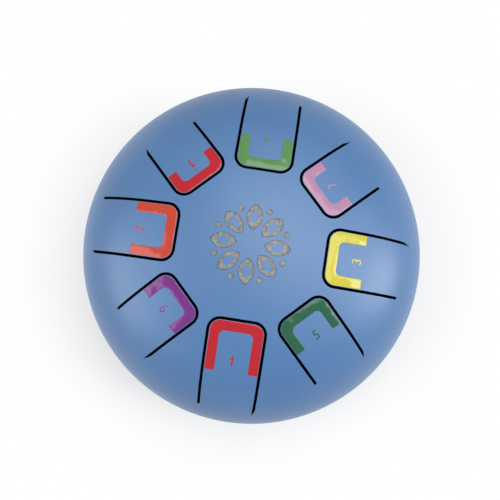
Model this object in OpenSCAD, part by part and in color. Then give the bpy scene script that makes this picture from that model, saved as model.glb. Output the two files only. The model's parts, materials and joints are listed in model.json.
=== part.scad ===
// Steel tongue drum with eight notes, at its real size in millimetres.
// Two pressed steel shells meet in a lapped seam. Eight tongues are cut into the top shell, each
// with a coloured film band round its tip, and four rubber feet are bolted under the bottom shell.
// Z is up along the drum's axis, the feet stand on height zero, and note 1 points to -Y.

/* [Shells] */
// Outside diameter of the drum at its seam
drum_d = 155; // [150:1:165]
// Thickness of the pressed steel sheet
sheet_t = 1.6; // [1.2:0.1:1.8]
// Outside radius of the top shell's crown
crown_r = 180; // [150:5:260]
// Outside radius of the bend between the top shell's crown and its skirt
knuckle_r = 40; // [36:1:44]
// Height of the top shell's straight skirt
skirt_h = 4; // [4:0.5:8]
// Outside radius of the bottom shell's crown
bowl_crown_r = 320; // [260:10:400]
// Outside radius of the bend between the bottom shell's crown and its skirt
bowl_knuckle_r = 32; // [27:1:34]
// Height of the bottom shell's straight skirt, up to its shoulder
bowl_skirt_h = 4; // [3.5:0.5:8]
// Height over which the bottom shell's rim steps inwards
joggle_h = 3; // [2:0.5:3.5]
// Height of the rim that stands inside the top shell's skirt
lap_h = 3.5; // [2:0.5:4]
// Open groove of the seam between the two shells
seam_gap = 0.3; // [0.2:0.1:0.6]
// Clearance between the rim and the skirt around it
lap_clear = 0.05; // [0.02:0.01:0.1]
// Diameter of the sound hole under the drum
sound_hole_d = 42; // [30:1:48]

/* [Tongues] */
// Diameter of the circle that the cuts at the tongues' tips keep near to
tip_circle_d = 62; // [60:1:72]
// Width of each tongue between its two slits
tongue_w = 22.2; // [18:0.2:22.6]
// Width of the cut around each tongue
kerf = 1.2; // [0.9:0.1:1.4]
// Corner radius of each tongue's tip
tip_corner_r = 4.4; // [3:0.2:8]
// Longest tapered end of the tongues' left slits, which the other slit ends follow
lead_out = 3.6; // [2:0.2:4.4]
// Gap at each tongue's root, where the real sheet runs on and bends
root_gap = 0.08; // [0.06:0.01:0.12]

/* [Note bands] */
// Width of the coloured band round each tongue's tip
band_w = 4; // [3:0.2:6]
// Distance of the band's edge from the tongue's edge
band_inset = 0.2; // [0.1:0.1:1]
// Inner corner radius of the band
band_corner_r = 2.2; // [1:0.2:4]
// Thickness of the band's film
film_t = 0.15; // [0.1:0.05:0.3]
// Thickness of the adhesive under the film
glue_t = 0.02; // [0.01:0.01:0.05]

/* [Feet] */
// Diameter of the circle on which the feet stand
foot_circle_d = 78; // [76:1:80]
// Height of each foot
foot_h = 8; // [7:0.5:14]
// Diameter of each foot where it meets the shell
foot_top_d = 17; // [14:0.5:18]
// Diameter of each foot at the floor
foot_base_d = 15; // [13.5:0.5:17]
// Chamfer round each foot's base
foot_edge = 0.8; // [0.4:0.1:1.2]
// Diameter of the recess in each foot for its cup washer
recess_d = 10; // [9.8:0.1:11]
// Depth of the recess in each foot
recess_h = 4.5; // [4:0.1:5.5]
// Diameter of the flat seat pressed into the shell for each foot
seat_d = 19; // [18.5:0.5:21]
// Depth of each seat's inner edge below the shell around it
seat_step = 0.5; // [0.3:0.1:1]

/* [Fasteners] */
// Diameter of the foot screws
screw_d = 4; // [3:0.5:4.5]
// Length of each foot screw under its head
screw_l = 12; // [11.5:0.5:16]
// Diameter of the screw heads
head_d = 7.6; // [6:0.2:8]
// Height of the screw heads
head_h = 2.6; // [2:0.1:2.8]
// Width of the cross recess in each screw head
cross_w = 1.1; // [0.8:0.1:1.4]
// Span of the cross recess in each screw head
cross_span = 4.4; // [3:0.2:5]
// Depth of the cross recess in each screw head
cross_h = 1.5; // [1:0.1:1.8]
// Clearance round the screws in the feet, washers and shell
hole_clear = 0.15; // [0.05:0.05:0.3]
// Clearance round the screws in the nuts, in place of the threads
nut_clear = 0.03; // [0.02:0.01:0.05]
// Sheet thickness of the cup washers
cup_t = 0.8; // [0.5:0.1:1]
// Depth of the cup washers
cup_h = 2.4; // [1.5:0.1:3]
// Clearance between the cup washers and the feet
cup_clear = 0.05; // [0.02:0.01:0.1]
// Outside diameter of the washers inside the drum
washer_d = 9; // [8.5:0.1:12]
// Thickness of the washers inside the drum
washer_t = 0.8; // [0.5:0.1:1.2]
// Width across the flats of the nuts
nut_flats = 7; // [6.4:0.2:8]
// Height of the nuts
nut_h = 3.2; // [2.4:0.1:3.5]

/* [Hidden] */
$fn = 128;
// Notes in rising pitch, as they stand in the names of the pieces
notes = ["1", "2", "3", "4", "5", "6", "7", "high_1"];
// Turn from note 1 to each note, anticlockwise as seen from above, of a full turn
turn_shares = [0, 0.75, 0.25, 0.5, 0.125, 0.875, 0.375, 0.625];
// Distance from the axis to the middle of the cut at each tip, of the tip circle's radius
tip_shares = [0.9925, 0.98, 0.99, 1.0025, 1.035, 1.0475, 1.02, 1.02];
// Distance from the axis to each tongue's root, of the drum's radius
root_shares = [0.861, 0.813, 0.805, 0.792, 0.787, 0.763, 0.723, 0.724];
// Run of each right slit past the root to the centre of its round end, of the lead-out
right_run_shares = [0.22, 0.64, 0.17, 0.58, 0.06, 0.06, 0.42, 0.11];
// Run of each left slit past the root to the start of its taper, of the lead-out
left_run_shares = [0.17, 0.75, 0.3, 0.47, 0, 0.25, 0.3, 0.33];
// Length of each left slit's taper, of the lead-out
taper_shares = [0.75, 0.33, 0.95, 0.67, 0.64, 1, 1, 0.72];
// Length of each band from the middle of the cut at the tip, of its tongue's length
band_shares = [0.59, 0.555, 0.5, 0.48, 0.51, 0.5, 0.49, 0.45];
band_colours = ["#c9283a", "#e2592f", "#e6da55", "#5fa355", "#2f7046", "#8b3f97", "#cf93bd", "#c9283a"];
blue_paint = "#6c92c6";
rubber_black = "#1d1d1f";
bright_zinc = "#b4b7bb";
// Names of the feet, anticlockwise from the back right, with the player in front at -Y
feet = ["back_right", "back_left", "front_left", "front_right"];

drum_r = drum_d / 2;
foot_step = 360 / len(feet);
// One overrun carries every cut past the faces that it opens
overrun = sheet_t;
// Half the distance between the middles of a tongue's two slits
slit_y = (tongue_w + kerf) / 2;
rim_r = drum_r - sheet_t - lap_clear;
foot_r = foot_circle_d / 2;
hole_r = screw_d / 2 + hole_clear;
// Reach of the nut's corners past its flats, and the height of the bevel that trims them
nut_bevel = (nut_flats / cos(30) - nut_flats) / 2;

// Heights, from the floor up
function crown_rise(crown, bend) = crown - sqrt(pow(crown - bend, 2) - pow(drum_r - bend, 2));
function crown_sag(crown, distance) = crown - sqrt(pow(crown, 2) - pow(distance, 2));
bowl_pole_z = foot_h + seat_step - crown_sag(bowl_crown_r, foot_r - seat_d / 2);
bowl_bend_z = bowl_pole_z + crown_rise(bowl_crown_r, bowl_knuckle_r);
shoulder_z = bowl_bend_z + bowl_skirt_h;
seam_z = shoulder_z + seam_gap;
dome_bend_z = seam_z + skirt_h;
top_z = dome_bend_z + crown_rise(crown_r, knuckle_r);
head_z = recess_h - cup_t - head_h;

function tongue_turn(i) = 360 * turn_shares[i] - 90;
function foot_turn(i) = (i + 0.5) * foot_step;
function tip_x(i) = tip_shares[i] * tip_circle_d / 2;
function root_x(i) = root_shares[i] * drum_r;
function band_end_x(i) = tip_x(i) + band_shares[i] * (root_x(i) - tip_x(i));

// Filled half section of a dished shell: a crown arc, a bend centred at height zero and a skirt.
// The bend's circle touches the crown's from inside where the line through its centre ends.
module dished_fill(radius, crown, bend, skirt) {
  hub = radius - bend;
  lean = asin(hub / (crown - bend));
  reach = 2 * crown;
  intersection() {
    translate([0, -hub / tan(lean)]) circle(r = crown);
    union() {
      polygon([[0, 0], [hub, 0], [hub + reach * tan(lean), reach], [0, reach]]);
      intersection() {
        translate([hub, 0]) circle(r = bend);
        square([radius, bend]);
      }
    }
  }
  translate([0, -skirt]) square([radius, skirt]);
}

// Solid bounded by the top shell's outer face moved outwards by out
module dome_solid(out, below = 0) {
  translate([0, 0, dome_bend_z]) rotate_extrude()
    dished_fill(drum_r + out, crown_r + out, knuckle_r + out, skirt_h + below);
}

// Layer of the dome between two distances from the shell's outer face
module dome_layer(low, high) {
  difference() {
    dome_solid(high);
    dome_solid(low, overrun);
  }
}

// Outline of a tongue along +X, with rounded corners at its tip
module tongue_outline(tip, end, half_w, corner) {
  translate([tip + corner, -half_w]) square([end - tip - corner, 2 * half_w]);
  translate([tip, corner - half_w]) square([2 * corner, 2 * (half_w - corner)]);
  for (side = [-1, 1]) translate([tip + corner, side * (half_w - corner)]) circle(r = corner);
}

// Opening cut in the shell round a tongue, with the ends of its two slits
module tongue_opening(i) {
  root = root_x(i);
  right_end = root + right_run_shares[i] * lead_out;
  left_end = root + left_run_shares[i] * lead_out;
  tongue_outline(tip_x(i) - kerf / 2, root + root_gap, slit_y + kerf / 2, tip_corner_r + kerf);
  translate([root - kerf, -slit_y - kerf / 2]) square([right_end - root + kerf, kerf]);
  translate([right_end, -slit_y]) circle(r = kerf / 2);
  polygon([
    [root - kerf, slit_y - kerf / 2],
    [left_end + taper_shares[i] * lead_out, slit_y - kerf / 2],
    [left_end, slit_y + kerf / 2],
    [root - kerf, slit_y + kerf / 2]
  ]);
}

// Upright prism over a tongue, from the seam to above the dome
module over_dome(i) {
  rotate([0, 0, tongue_turn(i)]) translate([0, 0, seam_z])
    linear_extrude(top_z - seam_z + overrun) children();
}

module top_shell() {
  color(blue_paint) difference() {
    dome_layer(-sheet_t, 0);
    for (i = [0 : len(notes) - 1]) over_dome(i) tongue_opening(i);
  }
}

module tongue(i) {
  color(blue_paint) intersection() {
    dome_layer(-sheet_t, 0);
    over_dome(i) tongue_outline(tip_x(i) + kerf / 2, root_x(i), tongue_w / 2, tip_corner_r);
  }
}

module note_band(i) {
  tip = tip_x(i) + kerf / 2 + band_inset;
  half_w = tongue_w / 2 - band_inset;
  end = band_end_x(i);
  color(band_colours[i]) intersection() {
    dome_layer(glue_t, glue_t + film_t);
    over_dome(i) difference() {
      tongue_outline(tip, end, half_w, tip_corner_r - band_inset);
      tongue_outline(tip + band_w, end + overrun, half_w - band_w, band_corner_r);
    }
  }
}

// Filled half section of the bottom shell upside down, out to its rim
module bowl_fill() {
  dished_fill(drum_r, bowl_crown_r, bowl_knuckle_r, bowl_skirt_h);
  rim_h = bowl_skirt_h + seam_gap + lap_h;
  translate([0, -rim_h]) square([rim_r, rim_h]);
}

// Half section of the space inside the bottom shell upside down, with the step under the rim
module bowl_void() {
  dished_fill(drum_r - sheet_t, bowl_crown_r - sheet_t, bowl_knuckle_r - sheet_t,
              bowl_skirt_h - joggle_h);
  rim_end = bowl_skirt_h + seam_gap + lap_h + overrun;
  polygon([
    [0, 0],
    [drum_r - sheet_t, 0],
    [drum_r - sheet_t, joggle_h - bowl_skirt_h],
    [rim_r - sheet_t, -bowl_skirt_h],
    [rim_r - sheet_t, -rim_end],
    [0, -rim_end]
  ]);
}

module at_foot(i) {
  rotate([0, 0, foot_turn(i)]) translate([foot_r, 0, 0]) children();
}

module bottom_shell() {
  color(blue_paint) difference() {
    union() {
      translate([0, 0, bowl_bend_z]) mirror([0, 0, 1]) rotate_extrude() bowl_fill();
      for (i = [0 : len(feet) - 1]) at_foot(i) translate([0, 0, foot_h])
        cylinder(d = seat_d, h = bowl_bend_z - foot_h);
    }
    translate([0, 0, bowl_bend_z]) mirror([0, 0, 1]) rotate_extrude() bowl_void();
    cylinder(d = sound_hole_d, h = bowl_bend_z);
    for (i = [0 : len(feet) - 1]) at_foot(i) {
      translate([0, 0, foot_h + sheet_t]) cylinder(r = seat_d / 2 - sheet_t, h = bowl_bend_z - foot_h);
      cylinder(r = hole_r, h = bowl_bend_z);
    }
  }
}

module foot(i) {
  color(rubber_black) at_foot(i) rotate_extrude() polygon([
    [hole_r, recess_h],
    [recess_d / 2, recess_h],
    [recess_d / 2, 0],
    [foot_base_d / 2 - foot_edge, 0],
    [foot_base_d / 2, foot_edge],
    [foot_top_d / 2, foot_h - foot_edge],
    [foot_top_d / 2, foot_h],
    [hole_r, foot_h]
  ]);
}

module foot_screw() {
  head_edge = head_h / 3;
  difference() {
    rotate_extrude() polygon([
      [0, head_z],
      [head_d / 2 - head_edge, head_z],
      [head_d / 2, head_z + head_edge],
      [head_d / 2, head_z + head_h],
      [screw_d / 2, head_z + head_h],
      [screw_d / 2, head_z + head_h + screw_l],
      [0, head_z + head_h + screw_l]
    ]);
    for (turn = [0, 90]) rotate([0, 0, turn])
      translate([-cross_span / 2, -cross_w / 2, head_z - overrun])
        cube([cross_span, cross_w, overrun + cross_h]);
  }
}

module foot_screws() {
  color(bright_zinc) for (i = [0 : len(feet) - 1]) at_foot(i) foot_screw();
}

module foot_cup_washers() {
  cup_r = recess_d / 2 - cup_clear;
  color(bright_zinc) for (i = [0 : len(feet) - 1]) at_foot(i) rotate_extrude() polygon([
    [hole_r, recess_h - cup_t],
    [cup_r - cup_t, recess_h - cup_t],
    [cup_r - cup_t, recess_h - cup_h],
    [cup_r, recess_h - cup_h],
    [cup_r, recess_h],
    [hole_r, recess_h]
  ]);
}

module inner_washers() {
  color(bright_zinc) for (i = [0 : len(feet) - 1]) at_foot(i) translate([0, 0, foot_h + sheet_t])
    difference() {
      cylinder(d = washer_d, h = washer_t);
      translate([0, 0, -overrun]) cylinder(r = hole_r, h = washer_t + 2 * overrun);
    }
}

// Hexagon nut with its corners bevelled at both ends
module foot_nut() {
  difference() {
    intersection() {
      cylinder(d = nut_flats / cos(30), h = nut_h, $fn = 6);
      rotate_extrude() polygon([
        [0, 0],
        [nut_flats / 2, 0],
        [nut_flats / 2 + nut_bevel, nut_bevel],
        [nut_flats / 2 + nut_bevel, nut_h - nut_bevel],
        [nut_flats / 2, nut_h],
        [0, nut_h]
      ]);
    }
    translate([0, 0, -overrun]) cylinder(r = screw_d / 2 + nut_clear, h = nut_h + 2 * overrun);
  }
}

module foot_nuts() {
  color(bright_zinc) for (i = [0 : len(feet) - 1]) at_foot(i)
    translate([0, 0, foot_h + sheet_t + washer_t]) foot_nut();
}

top_shell();
bottom_shell();
for (i = [0 : len(notes) - 1]) tongue(i);
for (i = [0 : len(notes) - 1]) note_band(i);
for (i = [0 : len(feet) - 1]) foot(i);
foot_screws();
foot_cup_washers();
inner_washers();
foot_nuts();
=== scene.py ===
# Steel tongue drum: two pressed steel shells, eight tongues with coloured bands, four rubber feet.
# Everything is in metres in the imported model's frame: Z is up, the drum stands on z = 0 and note 1
# is at -Y.
import json
import math

import bmesh
import bpy
from mathutils import Matrix, Vector


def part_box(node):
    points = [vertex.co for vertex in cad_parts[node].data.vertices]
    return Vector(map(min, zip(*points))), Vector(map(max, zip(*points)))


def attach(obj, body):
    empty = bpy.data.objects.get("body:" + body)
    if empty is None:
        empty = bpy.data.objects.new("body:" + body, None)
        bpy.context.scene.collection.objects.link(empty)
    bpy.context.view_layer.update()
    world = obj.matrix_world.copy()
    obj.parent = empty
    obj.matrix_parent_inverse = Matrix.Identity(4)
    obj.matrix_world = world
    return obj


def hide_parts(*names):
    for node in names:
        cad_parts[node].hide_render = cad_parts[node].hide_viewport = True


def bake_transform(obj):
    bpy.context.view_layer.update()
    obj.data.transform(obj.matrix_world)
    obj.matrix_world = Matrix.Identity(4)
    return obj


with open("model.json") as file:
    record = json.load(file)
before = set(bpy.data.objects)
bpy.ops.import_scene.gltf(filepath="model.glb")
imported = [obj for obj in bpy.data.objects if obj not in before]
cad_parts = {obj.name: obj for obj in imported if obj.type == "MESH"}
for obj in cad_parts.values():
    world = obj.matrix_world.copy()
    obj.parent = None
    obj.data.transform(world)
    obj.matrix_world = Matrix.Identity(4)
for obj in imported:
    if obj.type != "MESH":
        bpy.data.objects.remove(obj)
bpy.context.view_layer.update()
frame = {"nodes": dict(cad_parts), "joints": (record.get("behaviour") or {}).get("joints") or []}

# Sheet blank
# The top of the drum is a dish pressed from 1.6 mm steel sheet: a shallow crown, a tighter bend
# and a short straight skirt. Shell and tongues are cut from the one blank, so that they match.
MM = 0.001
TAU = math.tau
SHEET = 1.6 * MM
CROWN_R = 180 * MM
BEND_R = 40 * MM
SKIRT = 4 * MM
CROWN_STEPS, BEND_STEPS, TURN_STEPS = 44, 52, 240
OVERRUN = 2 * MM

# Points nearer than this to each other, where a mesh is closed, are made one
DOUBLES = 0.002 * MM

shell_low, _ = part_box("top_shell")
drum_r = -shell_low[0]
seam_z = shell_low[2]
bend_z = seam_z + SKIRT
hub = drum_r - BEND_R
lean = math.asin(hub / (CROWN_R - BEND_R))
crown_z = bend_z - hub / math.tan(lean)
top_z = crown_z + CROWN_R


def select_only(*pieces):
    bpy.ops.object.select_all(action="DESELECT")
    for piece in pieces:
        piece.select_set(True)
    bpy.context.view_layer.objects.active = pieces[0]


def settle(piece):
    """Puts the object's place, turn and size into its mesh."""
    select_only(piece)
    bpy.ops.object.transform_apply(location=True, rotation=True, scale=True)


def modify(piece, kind, **settings):
    """Adds a modifier with its settings and applies it."""
    select_only(piece)
    modifier = piece.modifiers.new(kind.lower(), kind)
    for name, value in settings.items():
        setattr(modifier, name, value)
    bpy.ops.object.modifier_apply(modifier=modifier.name)


def pick(piece, element, choose):
    """Enters edit mode with only the chosen vertices, edges or faces selected."""
    select_only(piece)
    modes = ("VERT", "EDGE", "FACE")
    bpy.context.tool_settings.mesh_select_mode = tuple(m == element for m in modes)
    bpy.ops.object.mode_set(mode="EDIT")
    bpy.ops.mesh.select_all(action="DESELECT")
    bpy.ops.object.mode_set(mode="OBJECT")
    mesh = piece.data
    items = {"VERT": mesh.vertices, "EDGE": mesh.edges, "FACE": mesh.polygons}[element]
    for item in items:
        item.select = choose(item)
    bpy.ops.object.mode_set(mode="EDIT")


def leave():
    bpy.ops.object.mode_set(mode="OBJECT")


def rename(piece, name):
    piece.name = piece.data.name = name


def copy_of(piece, name):
    twin = piece.copy()
    twin.data = piece.data.copy()
    rename(twin, name)
    bpy.context.collection.objects.link(twin)
    return twin


def discard(*pieces):
    for piece in pieces:
        bpy.data.meshes.remove(piece.data)


def joined(pieces, name):
    select_only(*pieces)
    if len(pieces) > 1:
        bpy.ops.object.join()
    rename(bpy.context.object, name)
    return bpy.context.object


def start_profile(name, x, z):
    """Starts a half section in the XZ plane with one vertex, selected in edit mode."""
    bpy.ops.object.select_all(action="DESELECT")
    bpy.ops.mesh.primitive_plane_add(size=MM, location=(x, 0, z))
    piece = bpy.context.object
    rename(piece, name)
    settle(piece)
    bpy.context.tool_settings.mesh_select_mode = (True, False, False)
    bpy.ops.object.mode_set(mode="EDIT")
    bpy.ops.mesh.select_all(action="SELECT")
    bpy.ops.mesh.merge(type="CENTER")
    return piece


def draw_arc(x, z, angle, steps):
    """Carries the profile's end round the centre (x, z), clockwise as seen from the front."""
    bpy.ops.mesh.spin(steps=steps, angle=angle, center=(x, 0, z), axis=(0, -1, 0))


def draw_to(dx, dz):
    """Carries the profile's end straight on by (dx, dz)."""
    bpy.ops.mesh.extrude_region_move(TRANSFORM_OT_translate={"value": (dx, 0, dz)})


def turn_profile(piece, steps=TURN_STEPS):
    """Turns the whole profile round the drum's axis and closes the seam and the pole."""
    bpy.ops.mesh.select_all(action="SELECT")
    bpy.ops.mesh.spin(steps=steps, angle=TAU, center=(0, 0, 0), axis=(0, 0, 1))
    bpy.ops.mesh.select_all(action="SELECT")
    bpy.ops.mesh.remove_doubles(threshold=DOUBLES)
    bpy.ops.mesh.normals_make_consistent(inside=False)
    leave()
    select_only(piece)
    bpy.ops.object.shade_smooth()


dome = start_profile("dome", 0, top_z)
draw_arc(0, crown_z, lean, CROWN_STEPS)
draw_arc(hub, bend_z, math.pi / 2 - lean, BEND_STEPS)
draw_to(0, -SKIRT / 2)
draw_to(0, -SKIRT / 2)
turn_profile(dome)
blank = copy_of(dome, "blank")
modify(blank, "SOLIDIFY", thickness=SHEET, offset=-1, use_even_offset=True)


# Top shell
# A laser cuts the openings of the eight tongues through the blank: each has a straight slit at
# either side, the right one with a blunt end and the left one with a tapered lead-out.
KERF = 1.2 * MM
TONGUE_W = 22.2 * MM
TIP_CORNER = 4.4 * MM
TIP_STEPS = 14
CUT_ROUND = 0.16 * MM
SMOOTH_ANGLE = math.radians(50)

# A point nearer than TOUCH to a surface lies on it, a face within SKIN_DEPTH of the outer one is
# coated, and points nearer than SLIVER to each other are one
TOUCH = 0.03 * MM
SKIN_DEPTH = 0.2 * MM
SLIVER = 0.001 * MM

# Past each root, in mm: the centre of the right slit's round end, the start of the left slit's
# taper, and the length of that taper, which narrows to BLUNT_SHARE of the cut's width
SLIT_ENDS = {
    "1": (0.8, 0.6, 2.7), "2": (2.3, 2.7, 1.2), "3": (0.6, 1.1, 3.4), "4": (2.1, 1.7, 2.4),
    "5": (0.2, 1.4, 2.8), "6": (0.2, 0.9, 3.6), "7": (1.5, 1.1, 3.6), "high_1": (0.4, 1.2, 2.6),
}
BLUNT_SHARE = 0.08
NOTES = list(SLIT_ENDS)
slit_y = (TONGUE_W + KERF) / 2


def root_point(note):
    """The middle of a tongue's root, where the frame has its hinge."""
    return Vector(next(j["pos_m"] for j in frame["joints"] if j["child"] == "tongue_" + note))


def along(note):
    """Unit vector from the drum's axis out along a tongue."""
    return Vector((*root_point(note).xy, 0)).normalized()


def reach(node, note):
    """Least and greatest distance of a CAD node from the drum's axis, along a tongue."""
    direction = along(note)
    distances = [v.co.dot(direction) for v in frame["nodes"][node].data.vertices]
    return min(distances), max(distances)


DIRECTION = {note: along(note) for note in NOTES}
TONGUE_SPAN = {note: reach("tongue_" + note, note) for note in NOTES}


def turned_to(piece, note):
    """Turns a piece made along +X to lie along a note's tongue."""
    settle(piece)
    piece.rotation_euler.z = math.atan2(DIRECTION[note].y, DIRECTION[note].x)
    settle(piece)
    return piece


def upright_block(start, end, half_width, corner=0):
    """A block along +X, from the skirt to above the crown, with its corners at the start rounded."""
    bpy.ops.object.select_all(action="DESELECT")
    bpy.ops.mesh.primitive_plane_add(size=1, location=((start + end) / 2, 0, bend_z))
    block = bpy.context.object
    block.scale = (end - start, 2 * half_width, 1)
    settle(block)
    if corner:
        pick(block, "VERT", lambda v: v.co.x < (start + end) / 2)
        bpy.ops.mesh.bevel(offset=corner, segments=TIP_STEPS, affect="VERTICES")
        leave()
    pick(block, "FACE", lambda f: True)
    bpy.ops.mesh.extrude_region_move(TRANSFORM_OT_translate={"value": (0, 0, top_z + OVERRUN - bend_z)})
    bpy.ops.mesh.select_all(action="SELECT")
    bpy.ops.mesh.normals_make_consistent(inside=False)
    leave()
    return block


def upright_cylinder(x, y, radius, sides=32):
    """A cylinder from below the skirt to above the crown."""
    bpy.ops.object.select_all(action="DESELECT")
    bpy.ops.mesh.primitive_cylinder_add(
        vertices=sides, radius=radius, depth=top_z - bend_z + 2 * OVERRUN,
        location=(x, y, (top_z + bend_z) / 2),
    )
    settle(bpy.context.object)
    return bpy.context.object


def combine(piece, other, operation):
    """Adds, subtracts or intersects another closed mesh, which is then gone."""
    modify(piece, "BOOLEAN", operation=operation, solver="EXACT", object=other)
    discard(other)
    return piece


def merge_touching(piece):
    """Merges the points that bevels and booleans leave on top of each other in a finished piece."""
    modify(piece, "WELD", merge_threshold=SLIVER)


def skin_height(place):
    """How far a point lies outside the outer face of the blank."""
    r = math.hypot(place.x, place.y)
    if place.z < bend_z:
        return r - drum_r
    if math.atan2(r, place.z - crown_z) < lean:
        return math.hypot(r, place.z - crown_z) - CROWN_R
    return math.hypot(r - hub, place.z - bend_z) - BEND_R


def nearest_note(place):
    return max(NOTES, key=lambda n: place.dot(DIRECTION[n]))


def at_root(place):
    """True for a point on the line where a tongue's sheet runs on into the shell."""
    note = nearest_note(place)
    on_line = abs(place.dot(DIRECTION[note]) - TONGUE_SPAN[note][1]) < TOUCH
    across = abs(place.x * DIRECTION[note].y - place.y * DIRECTION[note].x)
    return on_line and across < TONGUE_W / 2 + KERF


def round_cut_edges(piece):
    """Rounds the outer edges of the cut walls by a small bevel, but not along the root lines."""
    mesh = piece.data
    outer = [abs(skin_height(v.co)) < TOUCH for v in mesh.vertices]
    root = [at_root(v.co) for v in mesh.vertices]
    walls = set()
    for face in mesh.polygons:
        if not all(outer[i] for i in face.vertices):
            walls.update(face.edge_keys)

    def on_cut(edge):
        a, b = edge.vertices
        return outer[a] and outer[b] and edge.key in walls and not (root[a] and root[b])

    pick(piece, "EDGE", on_cut)
    bpy.ops.mesh.bevel(offset=CUT_ROUND, segments=2, affect="EDGES", loop_slide=False, clamp_overlap=True)
    leave()
    merge_touching(piece)


def finish_skin(piece, height, coat, inside=None):
    """Gives a piece its finishes, and its outer face the smooth normals of the uncut dome. The height
    is that of the piece's outer face above the dome's."""
    select_only(piece)
    bpy.ops.object.shade_smooth_by_angle(angle=SMOOTH_ANGLE)
    piece.data.materials.append(coat)
    if inside:
        piece.data.materials.append(inside)
        for face in piece.data.polygons:
            face.material_index = 0 if skin_height(face.center) > height - SKIN_DEPTH else 1
    group = piece.vertex_groups.new(name="skin")
    group.add([v.index for v in piece.data.vertices if abs(skin_height(v.co) - height) < TOUCH], 1, "REPLACE")
    modify(piece, "DATA_TRANSFER", object=dome, use_loop_data=True, data_types_loops={"CUSTOM_NORMAL"},
           loop_mapping="POLYINTERP_NEAREST", vertex_group="skin")
    piece.vertex_groups.clear()


def colour(code):
    """Linear colour from an sRGB hex code."""
    parts = [int(code[i:i + 2], 16) / 255 for i in (1, 3, 5)]
    linear = [p / 12.92 if p <= 0.04045 else ((p + 0.055) / 1.055) ** 2.4 for p in parts]
    return (*linear, 1)


def add_node(owner, kind, sockets=(), **settings):
    """Adds a node to a material or world. A socket gets a value, or a link from (node, output)."""
    node = owner.node_tree.nodes.new("ShaderNode" + kind)
    for name, value in settings.items():
        setattr(node, name, value)
    for name, value in dict(sockets).items():
        if isinstance(value, tuple) and isinstance(value[0], bpy.types.Node):
            owner.node_tree.links.new(value[0].outputs[value[1]], node.inputs[name])
        else:
            node.inputs[name].default_value = value
    return node


def new_material(name):
    material = bpy.data.materials.new(name)
    material.use_nodes = True
    material.node_tree.nodes.clear()
    return material


def finish_material(material, shader):
    add_node(material, "OutputMaterial", {"Surface": (shader, 0)})
    return material


# Satin powder coat, sprayed and baked on degreased steel: an even blue with a faint orange peel
# of waves about 1.6 mm across, and a clouding of its depth over some 25 mm.
def powder_coat():
    coat = new_material("satin_powder_coat")
    place = add_node(coat, "TexCoord")
    peel = add_node(coat, "TexNoise", {"Vector": (place, "Object"), "Scale": 1 / (1.6 * MM), "Detail": 2.0})
    cloud = add_node(coat, "TexNoise", {"Vector": (place, "Object"), "Scale": 1 / (25 * MM), "Detail": 3.0})
    tone = add_node(coat, "ValToRGB", {"Fac": (cloud, "Fac")})
    tone.color_ramp.elements[0].position = 0.35
    tone.color_ramp.elements[0].color = colour("#406ea1")
    tone.color_ramp.elements[1].position = 0.65
    tone.color_ramp.elements[1].color = colour("#4472a5")
    wave = add_node(coat, "Bump", {"Height": (peel, "Fac"), "Strength": 0.5, "Distance": 0.008 * MM})
    shader = add_node(coat, "BsdfPrincipled", {
        "Base Color": (tone, "Color"), "Normal": (wave, "Normal"), "Roughness": 0.4, "IOR": 1.65,
    })
    return finish_material(coat, shader)


# Scorched steel and black primer, near black partly as painted shade: the laser leaves a dark oxide on the
# cut walls and the inner faces have a flat black primer. Their near black also stands in for the shade inside
# the drum, so that the slits read as black lines.
def black_undercoat_and_shade_finish():
    undercoat_and_shade = new_material("black_undercoat_and_painted_shade")
    place = add_node(undercoat_and_shade, "TexCoord")
    grit = add_node(undercoat_and_shade, "TexNoise", {"Vector": (place, "Object"), "Scale": 1 / (0.8 * MM), "Detail": 4.0})
    tone = add_node(undercoat_and_shade, "ValToRGB", {"Fac": (grit, "Fac")})
    tone.color_ramp.elements[0].color = colour("#0d0d0f")
    tone.color_ramp.elements[1].color = colour("#1c1c1f")
    rough = add_node(undercoat_and_shade, "Bump", {"Height": (grit, "Fac"), "Strength": 0.6, "Distance": 0.02 * MM})
    shader = add_node(undercoat_and_shade, "BsdfPrincipled", {
        "Base Color": (tone, "Color"), "Normal": (rough, "Normal"), "Roughness": 0.75,
        "Specular IOR Level": 0.25,
    })
    return finish_material(undercoat_and_shade, shader)


blue_coat = powder_coat()
undercoat_and_shade = black_undercoat_and_shade_finish()

openings = []
for note in NOTES:
    tip, root = TONGUE_SPAN[note]
    right_end, left_end, taper = (run * MM for run in SLIT_ENDS[note])
    opening = upright_block(tip - KERF, root, slit_y + KERF / 2, TIP_CORNER + KERF)
    right_slit = upright_block(root - KERF, root + right_end, KERF / 2)
    right_slit.location.y = -slit_y
    round_end = upright_cylinder(root + right_end, -slit_y, KERF / 2)
    left_slit = upright_block(root - KERF, root + left_end, KERF / 2)
    pick(left_slit, "FACE", lambda f: f.center.x > root + left_end - TOUCH)
    bpy.ops.mesh.extrude_region_move(TRANSFORM_OT_translate={"value": (taper, 0, 0)})
    bpy.ops.transform.resize(value=(1, BLUNT_SHARE, 1), center_override=(root, -KERF / 2, 0))
    leave()
    left_slit.location.y = slit_y
    for part in (right_slit, round_end, left_slit):
        settle(part)
        combine(opening, part, "UNION")
    openings.append(turned_to(opening, note))
top_shell = combine(copy_of(blank, "top_shell_sheet"), joined(openings, "openings"), "DIFFERENCE")
round_cut_edges(top_shell)
# The cut walls and inner faces take the near-black primer, which is partly painted shade.
finish_skin(top_shell, 0, blue_coat, undercoat_and_shade)
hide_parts("top_shell")
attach(top_shell, "drum")


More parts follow.
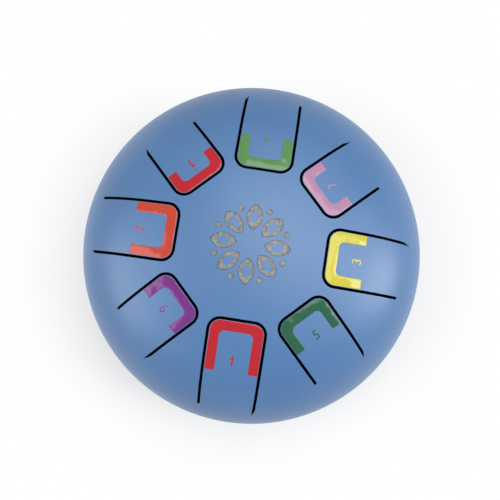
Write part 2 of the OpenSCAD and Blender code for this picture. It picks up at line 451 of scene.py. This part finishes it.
# Tongues
# Eight steel tongues, each the sheet left standing between its slits. They run on into the shell
# at their roots, where they bend when they sound, so each follows the shell there.
def by_note(piece, name):
    """Parts a mesh into its loose pieces and joins those of each note."""
    select_only(piece)
    bpy.ops.mesh.separate(type="LOOSE")
    groups = {}
    for part in bpy.context.selected_objects:
        middle = sum((v.co for v in part.data.vertices), Vector()) / len(part.data.vertices)
        groups.setdefault(nearest_note(middle), []).append(part)
    return {note: joined(groups[note], name + "_" + note) for note in NOTES}


def carry(piece):
    """Puts the piece's place, turn and size into its mesh."""
    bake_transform(piece)


blocks = [turned_to(upright_block(*TONGUE_SPAN[n], TONGUE_W / 2, TIP_CORNER), n) for n in NOTES]
tongue_sheet = combine(copy_of(blank, "tongue_sheet"), joined(blocks, "blocks"), "INTERSECT")
round_cut_edges(tongue_sheet)
tongues = by_note(tongue_sheet, "sheet_tongue")
for note, tongue in tongues.items():
    # The cut walls and inner faces take the near-black primer, which is partly painted shade.
    finish_skin(tongue, 0, blue_coat, undercoat_and_shade)
    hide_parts("tongue_" + note)
    carry(tongue)


# Note bands
# A U of glossy coloured film, 4 mm wide, is stuck round the tip of each tongue, a little in from
# the cut, with square ends. It is thickest along its middle, so that its sides catch the light.
BAND_W = 4 * MM
BAND_INSET = 0.2 * MM
BAND_CORNER = 2.2 * MM
FILM = 0.15 * MM
GLUE = 0.02 * MM
LEG_STEPS, CORNER_STEPS, HALF_TIP_STEPS = 20, 16, 12

# The part of the dome that the films lie on, as a finer surface
BED_LEAN, BED_BEND = math.radians(7), math.radians(35)
BED_CROWN_STEPS, BED_BEND_STEPS, BED_TURN_STEPS = 30, 40, 720

# Rows across the film: their place as a share of its width, and its thickness there as a share
CROWN = ((0, 0.25), (0.015, 0.45), (0.1, 0.62), (0.22, 0.81), (0.36, 0.95), (0.5, 1))
CROWN += tuple((1 - place, thickness) for place, thickness in reversed(CROWN[:-1]))

BAND_FINISH = {
    "1": ("film_red", "#b4021b"), "2": ("film_orange", "#c23b22"), "3": ("film_yellow", "#cbc135"),
    "4": ("film_light_green", "#538848"), "5": ("film_dark_green", "#11573b"),
    "6": ("film_purple", "#71227f"), "7": ("film_pink", "#b383a3"),
}
BAND_FINISH["high_1"] = BAND_FINISH["1"]


# Cast vinyl film, printed and clear coated: even and glossy, with waves about 6 mm across where
# it was pressed down by hand. They break up the edges of what it reflects.
def vinyl_film(name, code):
    film = new_material(name + "_vinyl")
    place = add_node(film, "TexCoord")
    press = add_node(film, "TexNoise", {"Vector": (place, "Object"), "Scale": 1 / (6 * MM), "Detail": 1.0})
    wave = add_node(film, "Bump", {"Height": (press, "Fac"), "Strength": 1.0, "Distance": 0.35 * MM})
    tone = add_node(film, "HueSaturation", {"Color": colour(code), "Fac": (press, "Fac"), "Value": 1.06})
    shader = add_node(film, "BsdfPrincipled", {
        "Base Color": (tone, "Color"), "Normal": (wave, "Normal"), "Roughness": 0.12, "IOR": 1.45,
    })
    return finish_material(film, shader)


def u_line(start, end, half_width, corner):
    """Points along a U in plan, from its left end round its start to its right end."""
    x, y = start + corner, half_width - corner
    side = [(end + (x - end) * i / LEG_STEPS, half_width) for i in range(LEG_STEPS)]
    for i in range(CORNER_STEPS):
        turn = i * TAU / 4 / CORNER_STEPS
        side.append((x - corner * math.sin(turn), y + corner * math.cos(turn)))
    side += [(start, y * (1 - i / HALF_TIP_STEPS)) for i in range(HALF_TIP_STEPS)]
    return side + [(start, 0)] + [(x, -y) for x, y in reversed(side)]


def flat_band(start, end):
    """A band's top face laid flat above the dome, with its thickness as the weights of a group."""
    half_width = TONGUE_W / 2 - BAND_INSET
    outer = u_line(start, end, half_width, TIP_CORNER - BAND_INSET)
    inner = u_line(start + BAND_W, end, half_width - BAND_W, BAND_CORNER)
    height = top_z + OVERRUN
    grid = bmesh.new()
    rows = []
    for place, _ in CROWN:
        pairs = ((Vector((*a, height)), Vector((*b, height))) for a, b in zip(outer, inner))
        rows.append([grid.verts.new(a.lerp(b, place)) for a, b in pairs])
    for row, following in zip(rows, rows[1:]):
        for i in range(len(row) - 1):
            grid.faces.new((row[i], row[i + 1], following[i + 1], following[i]))
    mesh = bpy.data.meshes.new("band")
    grid.to_mesh(mesh)
    grid.free()
    band = bpy.data.objects.new("band", mesh)
    bpy.context.collection.objects.link(band)
    crown = band.vertex_groups.new(name="crown")
    for i, (_, thickness) in enumerate(CROWN):
        crown.add(range(i * len(outer), (i + 1) * len(outer)), thickness, "REPLACE")
    return band


vinyl = {name: vinyl_film(name, code) for name, code in BAND_FINISH.values()}
bed = start_profile("bed", CROWN_R * math.sin(BED_LEAN), crown_z + CROWN_R * math.cos(BED_LEAN))
draw_arc(0, crown_z, lean - BED_LEAN, BED_CROWN_STEPS)
draw_arc(hub, bend_z, BED_BEND, BED_BEND_STEPS)
turn_profile(bed, BED_TURN_STEPS)
modify(bed, "DISPLACE", strength=GLUE, mid_level=0, direction="NORMAL")
film_sheet = joined([turned_to(flat_band(*reach("note_band_" + n, n)), n) for n in NOTES], "film_sheet")
modify(film_sheet, "SHRINKWRAP", target=bed, wrap_method="PROJECT", use_project_z=True,
       use_positive_direction=False, use_negative_direction=True)
modify(film_sheet, "SOLIDIFY", thickness=FILM, offset=1, vertex_group="crown")
discard(bed)
bands = by_note(film_sheet, "film_band")
for note, band in bands.items():
    finish, _ = BAND_FINISH[note]
    band.vertex_groups.clear()
    band.data.materials.append(vinyl[finish])
    select_only(band)
    bpy.ops.object.shade_smooth_by_angle(angle=SMOOTH_ANGLE)
    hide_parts("note_band_" + note)
    carry(band)


# Note numbers
# A plain number is printed on each tongue in its band's colour, with its top towards the middle
# of the drum. The eighth note has a dot above its number.
DIGIT_H = 4 * MM
STROKE_W = 0.6 * MM
FLAG_ANGLE, FLAG_SHARE = math.radians(48), 0.4
OCTAVE_DOT_R, OCTAVE_DOT_GAP = 0.4 * MM, 1.2 * MM
FIGURE_STEPS = 6

# Distance of each number's middle from the drum's axis
DIGIT_AT = {
    "1": 47.5 * MM, "2": 45.7 * MM, "3": 43.4 * MM, "4": 44.7 * MM,
    "5": 44.6 * MM, "6": 43.3 * MM, "7": 41.3 * MM, "high_1": 41.6 * MM,
}
INK = 0.02 * MM

# Height of a figure as a share of the text's size, in Blender's own face
CAP_SHARE = 0.729


def film_blank(base, height, thickness):
    """A thin skin over the dome, at a height above its face."""
    film = copy_of(base, "film")
    modify(film, "DISPLACE", strength=height, mid_level=0, direction="NORMAL")
    modify(film, "SOLIDIFY", thickness=thickness, offset=1, use_even_offset=True)
    return film


def one_block():
    """An upright block for a 1: a stem and a flag, with its top towards -X."""
    stem = upright_block(-DIGIT_H / 2, DIGIT_H / 2, STROKE_W / 2)
    flag = upright_block(0, DIGIT_H * FLAG_SHARE, STROKE_W / 2)
    flag.rotation_euler.z = -FLAG_ANGLE
    flag.location.x = STROKE_W / 2 - DIGIT_H / 2
    settle(flag)
    return combine(stem, flag, "UNION")


def figure_block(figure):
    """An upright block for any other figure, set in Blender's own plain face."""
    bpy.ops.object.select_all(action="DESELECT")
    bpy.ops.object.text_add(location=(0, 0, 0))
    text = bpy.context.object
    text.data.body = figure
    text.data.size = DIGIT_H / CAP_SHARE
    text.data.align_x = "CENTER"
    text.data.extrude = (top_z + OVERRUN - bend_z) / 2
    text.data.resolution_u = FIGURE_STEPS
    bpy.ops.object.convert(target="MESH")
    block = bpy.context.object
    pick(block, "VERT", lambda v: True)
    bpy.ops.mesh.remove_doubles(threshold=DOUBLES)
    bpy.ops.mesh.normals_make_consistent(inside=False)
    leave()
    block.rotation_euler.z = math.pi / 2
    block.location = (DIGIT_H / 2, 0, (top_z + OVERRUN + bend_z) / 2)
    settle(block)
    return block


marks = []
for note in NOTES:
    number = one_block() if note[-1] == "1" else figure_block(note)
    number.location.x = DIGIT_AT[note]
    marks.append(turned_to(number, note))
    if note == "high_1":
        dot_at = DIGIT_AT[note] - DIGIT_H / 2 - OCTAVE_DOT_GAP
        octave_dot = upright_cylinder(dot_at, 0, OCTAVE_DOT_R, sides=24)
        marks.append(turned_to(octave_dot, note))
print_film = combine(film_blank(dome, INK, INK), joined(marks, "marks"), "INTERSECT")
merge_touching(print_film)
numbers = by_note(print_film, "number")
for note, number in numbers.items():
    finish, _ = BAND_FINISH[note]
    finish_skin(number, 2 * INK, vinyl[finish])
    carry(number)


# Centre ornament
# A ring of eight hollow petals with a dot between each two, etched by laser through the paint
# into the steel. The etched steel is a matt grey, with a darker scorched line round it.
ORNAMENT_R = 22 * MM
PETALS = 8
PETAL_IN, PETAL_OUT = 6 * MM, 16 * MM
PETAL_HALF_W = 3 * MM
PETAL_ARC_SIDES = 96
STROKE = 1.2 * MM
POINT_GROWTH = 2
DOT_CIRCLE_R = 15 * MM
DOT_R = 1.05 * MM
SCORCH_W = 0.25 * MM
ETCH = 0.01 * MM
CAP_STEPS = 20
CUTTER_STRETCH = 1.1


def petal(start, end, half_width):
    """An upright block with a pointed oval outline between two distances along +X."""
    half_length = (end - start) / 2
    radius = (half_length ** 2 + half_width ** 2) / (2 * half_width)
    shift = radius - half_width
    middle = (start + end) / 2
    left = upright_cylinder(middle, shift, radius, PETAL_ARC_SIDES)
    return combine(left, upright_cylinder(middle, -shift, radius, PETAL_ARC_SIDES), "INTERSECT")


def ornament_blocks(grow):
    """The cutters of the whole ornament, with every stroke widened by grow on each side. A petal's
    points grow more than its sides."""
    blocks = []
    for i in range(PETALS):
        tip = grow * POINT_GROWTH
        leaf = petal(PETAL_IN - tip, PETAL_OUT + tip, PETAL_HALF_W + grow)
        slim = STROKE - grow
        tip = slim * POINT_GROWTH
        hollow = petal(PETAL_IN + tip, PETAL_OUT - tip, PETAL_HALF_W - slim)
        hollow.scale.z = CUTTER_STRETCH
        settle(hollow)
        leaf = combine(leaf, hollow, "DIFFERENCE")
        leaf.rotation_euler.z = i * TAU / PETALS
        settle(leaf)
        turn = (i + 0.5) * TAU / PETALS
        dot = upright_cylinder(DOT_CIRCLE_R * math.cos(turn), DOT_CIRCLE_R * math.sin(turn), DOT_R + grow)
        blocks += [leaf, dot]
    return joined(blocks, "ornament_blocks")


# Laser-etched steel: bared metal with a fine frosted grain, mottled over about 1.5 mm.
def etched_steel(name, dark, light, roughness):
    steel = new_material(name)
    place = add_node(steel, "TexCoord")
    mottle = add_node(steel, "TexNoise", {
        "Vector": (place, "Object"), "Scale": 1 / (1.5 * MM), "Detail": 4.0,
    })
    tone = add_node(steel, "ValToRGB", {"Fac": (mottle, "Fac")})
    tone.color_ramp.elements[0].position = 0.35
    tone.color_ramp.elements[0].color = colour(dark)
    tone.color_ramp.elements[1].position = 0.65
    tone.color_ramp.elements[1].color = colour(light)
    grain = add_node(steel, "Bump", {"Height": (mottle, "Fac"), "Strength": 0.5, "Distance": 0.02 * MM})
    shader = add_node(steel, "BsdfPrincipled", {
        "Base Color": (tone, "Color"), "Normal": (grain, "Normal"), "Roughness": roughness, "Metallic": 0.3,
    })
    return finish_material(steel, shader)


cap = start_profile("cap", 0, top_z)
draw_arc(0, crown_z, math.asin(ORNAMENT_R / CROWN_R), CAP_STEPS)
turn_profile(cap)

# Each layer's name, its place in the stack, how much its strokes are widened, and its finish
layers = (
    ("ornament_scorch", 1, SCORCH_W, etched_steel("scorched_steel", "#4a4d54", "#62656b", 0.6)),
    ("ornament_steel", 2, 0, etched_steel("etched_steel", "#606261", "#888a89", 0.5)),
)
for name, layer, grow, finish in layers:
    etching = combine(film_blank(cap, layer * ETCH, ETCH), ornament_blocks(grow), "INTERSECT")
    merge_touching(etching)
    rename(etching, name)
    finish_skin(etching, (layer + 1) * ETCH, finish)
    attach(etching, "drum")
discard(cap)


# Bottom shell
# A deeper dish of the same sheet. Its rim steps inwards and stands inside the top shell's skirt,
# a round sound hole is cut in its middle, and four flat seats for the feet are pressed into it.
BOWL_CROWN = 320 * MM
BOWL_BEND = 32 * MM
BOWL_SKIRT = 4 * MM
JOGGLE = 3 * MM
LAP = 3.5 * MM
SEAM_GAP = 0.3 * MM
LAP_CLEAR = 0.05 * MM
SOUND_HOLE_R = 21 * MM
FOOT_CIRCLE_R = 39 * MM
SEAT_R = 9.5 * MM
FOOT_H = 8 * MM
HOLE_R = 2.15 * MM
SHOULDER_ROUND = 0.8 * MM
HOLE_ROUND, INNER_HOLE_ROUND = 0.4 * MM, 0.3 * MM
SEAT_ROUND = 0.5 * MM
BOWL_CROWN_STEPS, BOWL_BEND_STEPS, SPACE_STEPS = 24, 44, 20
HOLE_WALL_REACH = SOUND_HOLE_R * 1.1
EDGE_ANGLE = math.radians(35)
FEET = ("back_right", "back_left", "front_left", "front_right")

shoulder_z = seam_z - SEAM_GAP
bowl_bend_z = shoulder_z - BOWL_SKIRT
bowl_hub = drum_r - BOWL_BEND
bowl_lean = math.asin(bowl_hub / (BOWL_CROWN - BOWL_BEND))
bowl_crown_z = bowl_bend_z + bowl_hub / math.tan(bowl_lean)
rim_step = SHEET + LAP_CLEAR


def at_foot(piece, i):
    """Moves a piece made on the drum's axis to the place of a foot."""
    turn = (i + 0.5) * TAU / len(FEET)
    piece.rotation_euler.z = turn
    piece.location = (FOOT_CIRCLE_R * math.cos(turn), FOOT_CIRCLE_R * math.sin(turn), 0)
    settle(piece)
    return piece


def at_all_feet(piece, name):
    """Copies a piece made on the drum's axis to all four feet and joins the copies."""
    copies = [at_foot(copy_of(piece, name), i) for i in range(len(FEET))]
    discard(piece)
    return joined(copies, name)


def cylinder_between(low, high, radius, sides=96):
    bpy.ops.object.select_all(action="DESELECT")
    bpy.ops.mesh.primitive_cylinder_add(
        vertices=sides, radius=radius, depth=high - low, location=(0, 0, (low + high) / 2)
    )
    settle(bpy.context.object)
    return bpy.context.object


hole_lean = math.asin(SOUND_HOLE_R / BOWL_CROWN)
inner_hole_lean = math.asin(SOUND_HOLE_R / (BOWL_CROWN - SHEET))
hole_z = bowl_crown_z - BOWL_CROWN * math.cos(hole_lean)
inner_hole_z = bowl_crown_z - (BOWL_CROWN - SHEET) * math.cos(inner_hole_lean)
bowl = start_profile("bottom_shell_sheet", SOUND_HOLE_R, hole_z)
draw_arc(0, bowl_crown_z, hole_lean - bowl_lean, BOWL_CROWN_STEPS)
draw_arc(bowl_hub, bowl_bend_z, bowl_lean - math.pi / 2, BOWL_BEND_STEPS)
draw_to(0, BOWL_SKIRT)
draw_to(-rim_step, 0)
draw_to(0, SEAM_GAP + LAP)
draw_to(-SHEET, 0)
draw_to(0, -SEAM_GAP - LAP)
draw_to(rim_step, -JOGGLE)
draw_to(0, JOGGLE - BOWL_SKIRT)
draw_arc(bowl_hub, bowl_bend_z, math.pi / 2 - bowl_lean, BOWL_BEND_STEPS)
draw_arc(0, bowl_crown_z, bowl_lean - inner_hole_lean, BOWL_CROWN_STEPS)
draw_to(0, hole_z - inner_hole_z)
turn_profile(bowl)


def ring_edges(radius, height):
    """Chooses the edges of a ring round the drum's axis."""
    def chosen(edge):
        return all(
            abs(math.hypot(*bowl.data.vertices[i].co[:2]) - radius) < TOUCH
            and abs(bowl.data.vertices[i].co.z - height) < TOUCH for i in edge.vertices
        )
    return chosen


for radius, height, width in (
    (drum_r, shoulder_z, SHOULDER_ROUND),
    (SOUND_HOLE_R, hole_z, HOLE_ROUND),
    (SOUND_HOLE_R, inner_hole_z, INNER_HOLE_ROUND),
):
    pick(bowl, "EDGE", ring_edges(radius, height))
    bpy.ops.mesh.bevel(offset=width, segments=4, affect="EDGES")
    leave()

# Each seat is pushed down into the sheet: a boss outside, kept clear of the drum's inner space, and
# a pocket inside
seat_top, pocket_top = FOOT_H * 2, FOOT_H * 3
space = start_profile("space", 0, bowl_crown_z - BOWL_CROWN + SHEET)
draw_arc(0, bowl_crown_z, -bowl_lean, SPACE_STEPS)
space_r = (BOWL_CROWN - SHEET) * math.sin(bowl_lean)
draw_to(0, seat_top)
draw_to(-space_r, 0)
turn_profile(space)
seat = cylinder_between(FOOT_H, seat_top, SEAT_R)
modify(seat, "BEVEL", width=SEAT_ROUND, segments=4, limit_method="ANGLE")
seats = combine(at_all_feet(seat, "seats"), space, "DIFFERENCE")
combine(bowl, seats, "UNION")
pocket = cylinder_between(FOOT_H + SHEET, pocket_top, SEAT_R - SHEET)
modify(pocket, "BEVEL", width=SEAT_ROUND, segments=3, limit_method="ANGLE")
combine(bowl, at_all_feet(pocket, "pockets"), "DIFFERENCE")
combine(bowl, at_all_feet(cylinder_between(0, pocket_top, HOLE_R, sides=48), "holes"), "DIFFERENCE")
merge_touching(bowl)
select_only(bowl)
bpy.ops.object.shade_smooth_by_angle(angle=EDGE_ANGLE)
# The inner faces take the near-black primer, which also stands in as painted shade inside the drum.
bowl.data.materials.append(blue_coat)
bowl.data.materials.append(undercoat_and_shade)
drum_middle = Vector((0, 0, seam_z))
for face in bowl.data.polygons:
    outward = face.normal.dot(face.center - drum_middle) > 0
    hole_wall = face.center.length < HOLE_WALL_REACH
    face.material_index = 0 if outward or hole_wall else 1
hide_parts("bottom_shell")
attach(bowl, "drum")


# Feet
# Four black rubber feet, moulded with a slight taper. A deep recess in each base takes the screw
# and its cup washer, so that only rubber touches the table.
FOOT_TOP_R, FOOT_BASE_R = 8.5 * MM, 7.5 * MM
FOOT_EDGE = 0.8 * MM
RECESS_R, RECESS_H = 5 * MM, 4.5 * MM


def lathe(name, points, steps=96):
    """A solid of revolution on the drum's axis, from the corners of its closed half section."""
    piece = start_profile(name, *points[0])
    for start, end in zip(points, points[1:] + points[:1]):
        draw_to(end[0] - start[0], end[1] - start[1])
    turn_profile(piece, steps)
    return piece


# Moulded rubber: matt black with a fine spark-eroded grain of about 0.5 mm from its mould.
def moulded_rubber():
    rubber = new_material("moulded_rubber")
    place = add_node(rubber, "TexCoord")
    grain = add_node(rubber, "TexNoise", {
        "Vector": (place, "Object"), "Scale": 1 / (0.5 * MM), "Detail": 3.0,
    })
    tone = add_node(rubber, "ValToRGB", {"Fac": (grain, "Fac")})
    tone.color_ramp.elements[0].color = colour("#161617")
    tone.color_ramp.elements[1].color = colour("#242426")
    bump = add_node(rubber, "Bump", {"Height": (grain, "Fac"), "Strength": 0.7, "Distance": 0.03 * MM})
    shader = add_node(rubber, "BsdfPrincipled", {
        "Base Color": (tone, "Color"), "Normal": (bump, "Normal"), "Roughness": 0.62,
        "Specular IOR Level": 0.4,
    })
    return finish_material(rubber, shader)


black_rubber = moulded_rubber()
foot = lathe("foot", [
    (HOLE_R, RECESS_H),
    (RECESS_R, RECESS_H),
    (RECESS_R, 0),
    (FOOT_BASE_R, 0),
    (FOOT_TOP_R, FOOT_H - FOOT_EDGE),
    (FOOT_TOP_R, FOOT_H),
    (HOLE_R, FOOT_H),
])
modify(foot, "BEVEL", width=FOOT_EDGE, segments=5, limit_method="ANGLE", angle_limit=math.radians(60))
merge_touching(foot)
select_only(foot)
bpy.ops.object.shade_smooth_by_angle(angle=EDGE_ANGLE)
foot.data.materials.append(black_rubber)
for i, name in enumerate(FEET):
    rubber_foot = at_foot(copy_of(foot, "rubber_foot_" + name), i)
    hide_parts("foot_" + name)
    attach(rubber_foot, "drum")
discard(foot)


# Foot fasteners
# Each foot is held by a zinc plated pan-head screw with a cross recess, which bears on a pressed cup washer
# in the foot. A flat washer and a hexagon nut hold it inside the drum, where the near-black primer covers
# them and the screw's end. That near black is partly painted shade inside the drum.
SCREW_R = 2 * MM
SCREW_CHAMFER = SCREW_R / 4
SCREW_L = 12 * MM
HEAD_R, HEAD_H = 3.8 * MM, 2.6 * MM
HEAD_ROUND = 0.35 * MM
CROSS_W, CROSS_SPAN, CROSS_H = 1.1 * MM, 4.4 * MM, 1.5 * MM
CROSS_TAPER = 0.5
CUP_T, CUP_H, CUP_CLEAR = 0.8 * MM, 2.4 * MM, 0.05 * MM
CUP_ROUND = 0.18 * MM

# The pan head's outline, as shares of its radius and of its height
HEAD_SHARES = ((0.62, 0), (0.9, 0.25), (1, 0.6), (1, 1))


# Bright zinc plating on steel: a slightly blue metal, brushed by tumbling, clouded over 2 mm.
def zinc_plate():
    zinc = new_material("bright_zinc_plate")
    place = add_node(zinc, "TexCoord")
    cloud = add_node(zinc, "TexNoise", {"Vector": (place, "Object"), "Scale": 1 / (2 * MM), "Detail": 5.0})
    tone = add_node(zinc, "ValToRGB", {"Fac": (cloud, "Fac")})
    tone.color_ramp.elements[0].color = colour("#a3a7ad")
    tone.color_ramp.elements[1].color = colour("#c9ccd1")
    dull = add_node(zinc, "MapRange", {"Value": (cloud, "Fac"), "To Min": 0.24, "To Max": 0.42})
    shader = add_node(zinc, "BsdfPrincipled", {
        "Base Color": (tone, "Color"), "Roughness": (dull, "Result"), "Metallic": 1.0,
    })
    return finish_material(zinc, shader)


zinc = zinc_plate()
seating_z = RECESS_H - CUP_T
head_z = seating_z - HEAD_H
screw_top = seating_z + SCREW_L
inside_z = FOOT_H + SHEET
pan_head = [(HEAD_R * radius, head_z + HEAD_H * height) for radius, height in HEAD_SHARES]
screw = lathe("screw", [
    (0, head_z),
    *pan_head,
    (SCREW_R, seating_z),
    (SCREW_R, inside_z),
    (SCREW_R, screw_top - SCREW_CHAMFER),
    (SCREW_R - SCREW_CHAMFER, screw_top),
    (0, screw_top),
], steps=64)
modify(screw, "BEVEL", width=HEAD_ROUND, segments=3, limit_method="ANGLE", angle_limit=math.radians(15))
arms = []
for size in ((CROSS_SPAN, CROSS_W), (CROSS_W, CROSS_SPAN)):
    bpy.ops.object.select_all(action="DESELECT")
    bpy.ops.mesh.primitive_cube_add(size=1, location=(0, 0, head_z))
    arm = bpy.context.object
    arm.scale = (*size, 2 * CROSS_H)
    settle(arm)
    pick(arm, "VERT", lambda v: v.co.z > head_z)
    bpy.ops.transform.resize(value=(CROSS_TAPER, CROSS_TAPER, 1), center_override=(0, 0, head_z))
    leave()
    arms.append(arm)
cross = combine(arms[0], arms[1], "UNION")
combine(screw, cross, "DIFFERENCE")
merge_touching(screw)
cup_r = RECESS_R - CUP_CLEAR
cup = lathe("cup", [
    (HOLE_R, seating_z),
    (cup_r - CUP_T, seating_z),
    (cup_r - CUP_T, RECESS_H - CUP_H),
    (cup_r, RECESS_H - CUP_H),
    (cup_r, RECESS_H),
    (HOLE_R, RECESS_H),
])
modify(cup, "BEVEL", width=CUP_ROUND, segments=3, limit_method="ANGLE", angle_limit=math.radians(30))
for piece in (screw, cup):
    select_only(piece)
    bpy.ops.object.shade_smooth_by_angle(angle=EDGE_ANGLE)
    piece.data.materials.append(zinc)
# The screw's end inside the drum takes the near-black primer, which is partly painted shade.
screw.data.materials.append(undercoat_and_shade)
for face in screw.data.polygons:
    face.material_index = 1 if face.center.z > inside_z else 0
for piece, name, node in (
    (screw, "plated_screws", "foot_screws"),
    (cup, "plated_cup_washers", "foot_cup_washers"),
):
    group = at_all_feet(piece, name)
    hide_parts(node)
    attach(group, "drum")
# The washers and nuts inside the drum take the near-black primer, which is partly painted shade.
for node in ("inner_washers", "foot_nuts"):
    frame["nodes"][node].data.materials.clear()
    frame["nodes"][node].data.materials.append(undercoat_and_shade)


# Floor, backdrop and light
# White paper under the drum, a soft box overhead, a low one at either side, and a dim white room.
# The camera and reflections see the room, and the paper beyond the drum's shadow, as plain white.
LAMP_DISTANCE = 1.3
FLOOR_SIZE = 8
SHADE_R, WHITE_R = 50 * MM, 130 * MM


def soft_box(name, wide, tall, watts, tilt, turn):
    """A lamp aimed at the drum, tilted from overhead towards a direction turned from +X."""
    turned = Matrix.Rotation(math.radians(turn), 3, "Z") @ Matrix.Rotation(math.radians(tilt), 3, "Y")
    outward = turned @ Vector((0, 0, LAMP_DISTANCE))
    bpy.ops.object.light_add(type="AREA", location=outward + Vector((0, 0, top_z)))
    lamp = bpy.context.object
    lamp.name = name
    lamp.data.shape = "RECTANGLE"
    lamp.data.size, lamp.data.size_y = wide, tall
    lamp.data.energy = watts
    lamp.rotation_euler = (-outward).to_track_quat("-Z", "Y").to_euler()


soft_box("overhead_box", wide=1.1, tall=0.8, watts=8.8, tilt=16, turn=55)
soft_box("left_box", wide=0.9, tall=1.1, watts=9, tilt=58, turn=200)
soft_box("right_box", wide=0.5, tall=1.1, watts=10.5, tilt=60, turn=0)


def seen_directly(owner):
    """1 for the rays of the camera, of reflections and through glass, and 0 for all others."""
    ray = add_node(owner, "LightPath")
    either = add_node(owner, "Math", {
        0: (ray, "Is Camera Ray"), 1: (ray, "Is Glossy Ray"),
    }, operation="MAXIMUM")
    return add_node(owner, "Math", {0: (either, 0), 1: (ray, "Is Transmission Ray")}, operation="MAXIMUM")


world = bpy.data.worlds.new("room")
bpy.context.scene.world = world
world.use_nodes = True
world.node_tree.nodes.clear()
level = add_node(world, "MapRange", {"Value": (seen_directly(world), 0), "To Min": 0.18, "To Max": 1.0})
glow = add_node(world, "Background", {"Color": (1, 1, 1, 1), "Strength": (level, "Result")})
add_node(world, "OutputWorld", {"Surface": (glow, 0)})

bpy.ops.object.select_all(action="DESELECT")
bpy.ops.mesh.primitive_plane_add(size=FLOOR_SIZE, location=(0, 0, 0))
floor = bpy.context.object
rename(floor, "floor")


# Matt white background paper. Under the drum it takes a soft shadow. It turns to plain white
# with distance, so that no horizon shows, and it has no back, so that the feet show from below.
def background_paper():
    paper = new_material("white_paper")
    place = add_node(paper, "TexCoord")
    distance = add_node(paper, "VectorMath", {0: (place, "Object")}, operation="LENGTH")
    fade = add_node(paper, "MapRange", {
        "Value": (distance, "Value"), "From Min": SHADE_R, "From Max": WHITE_R,
    })
    share = add_node(paper, "Math", {0: (seen_directly(paper), 0), 1: (fade, "Result")}, operation="MULTIPLY")
    matt = add_node(paper, "BsdfDiffuse", {"Color": (0.9, 0.9, 0.9, 1)})
    white = add_node(paper, "Emission", {"Color": (1, 1, 1, 1), "Strength": 1.0})
    front = add_node(paper, "MixShader", {0: (share, 0), 1: (matt, 0), 2: (white, 0)})
    side = add_node(paper, "NewGeometry")
    clear = add_node(paper, "BsdfTransparent")
    shader = add_node(paper, "MixShader", {0: (side, "Backfacing"), 1: (front, 0), 2: (clear, 0)})
    return finish_material(paper, shader)


floor.data.materials.append(background_paper())


# Camera
# It looks almost straight down, with the notes turned a little clockwise in the picture.
VIEW_TILT = math.radians(5.4)
VIEW_LEAN = math.radians(6.0)
VIEW_TURN = math.radians(8.93)
VIEW_DISTANCE = 305.4 * MM
VIEW_OFFSET = (0.63 * MM, -2.04 * MM)
VIEW_CENTRE_Z = bend_z - 3 * MM
PICTURE_SIZE = 500
FOCAL_PIXELS = 645.7

back = Vector((math.sin(VIEW_TILT) * math.sin(VIEW_LEAN), -math.sin(VIEW_TILT) * math.cos(VIEW_LEAN),
               math.cos(VIEW_TILT)))
up = (Vector((0, 1, 0)) - back * back.y).normalized()
right = up.cross(back)
spin = Matrix.Rotation(VIEW_TURN, 3, "Z")
back, up, right = spin @ back, spin @ up, spin @ right
bpy.ops.object.camera_add()
camera = bpy.context.object
camera.data.sensor_width = 36
camera.data.lens = camera.data.sensor_width * FOCAL_PIXELS / PICTURE_SIZE
camera.rotation_euler = Matrix((right, up, back)).transposed().to_euler()
camera.location = (Vector((0, 0, VIEW_CENTRE_Z)) + back * VIEW_DISTANCE
                   - right * VIEW_OFFSET[0] - up * VIEW_OFFSET[1])
bpy.context.scene.camera = camera
bpy.context.scene.view_settings.view_transform = "Standard"

discard(dome, blank)
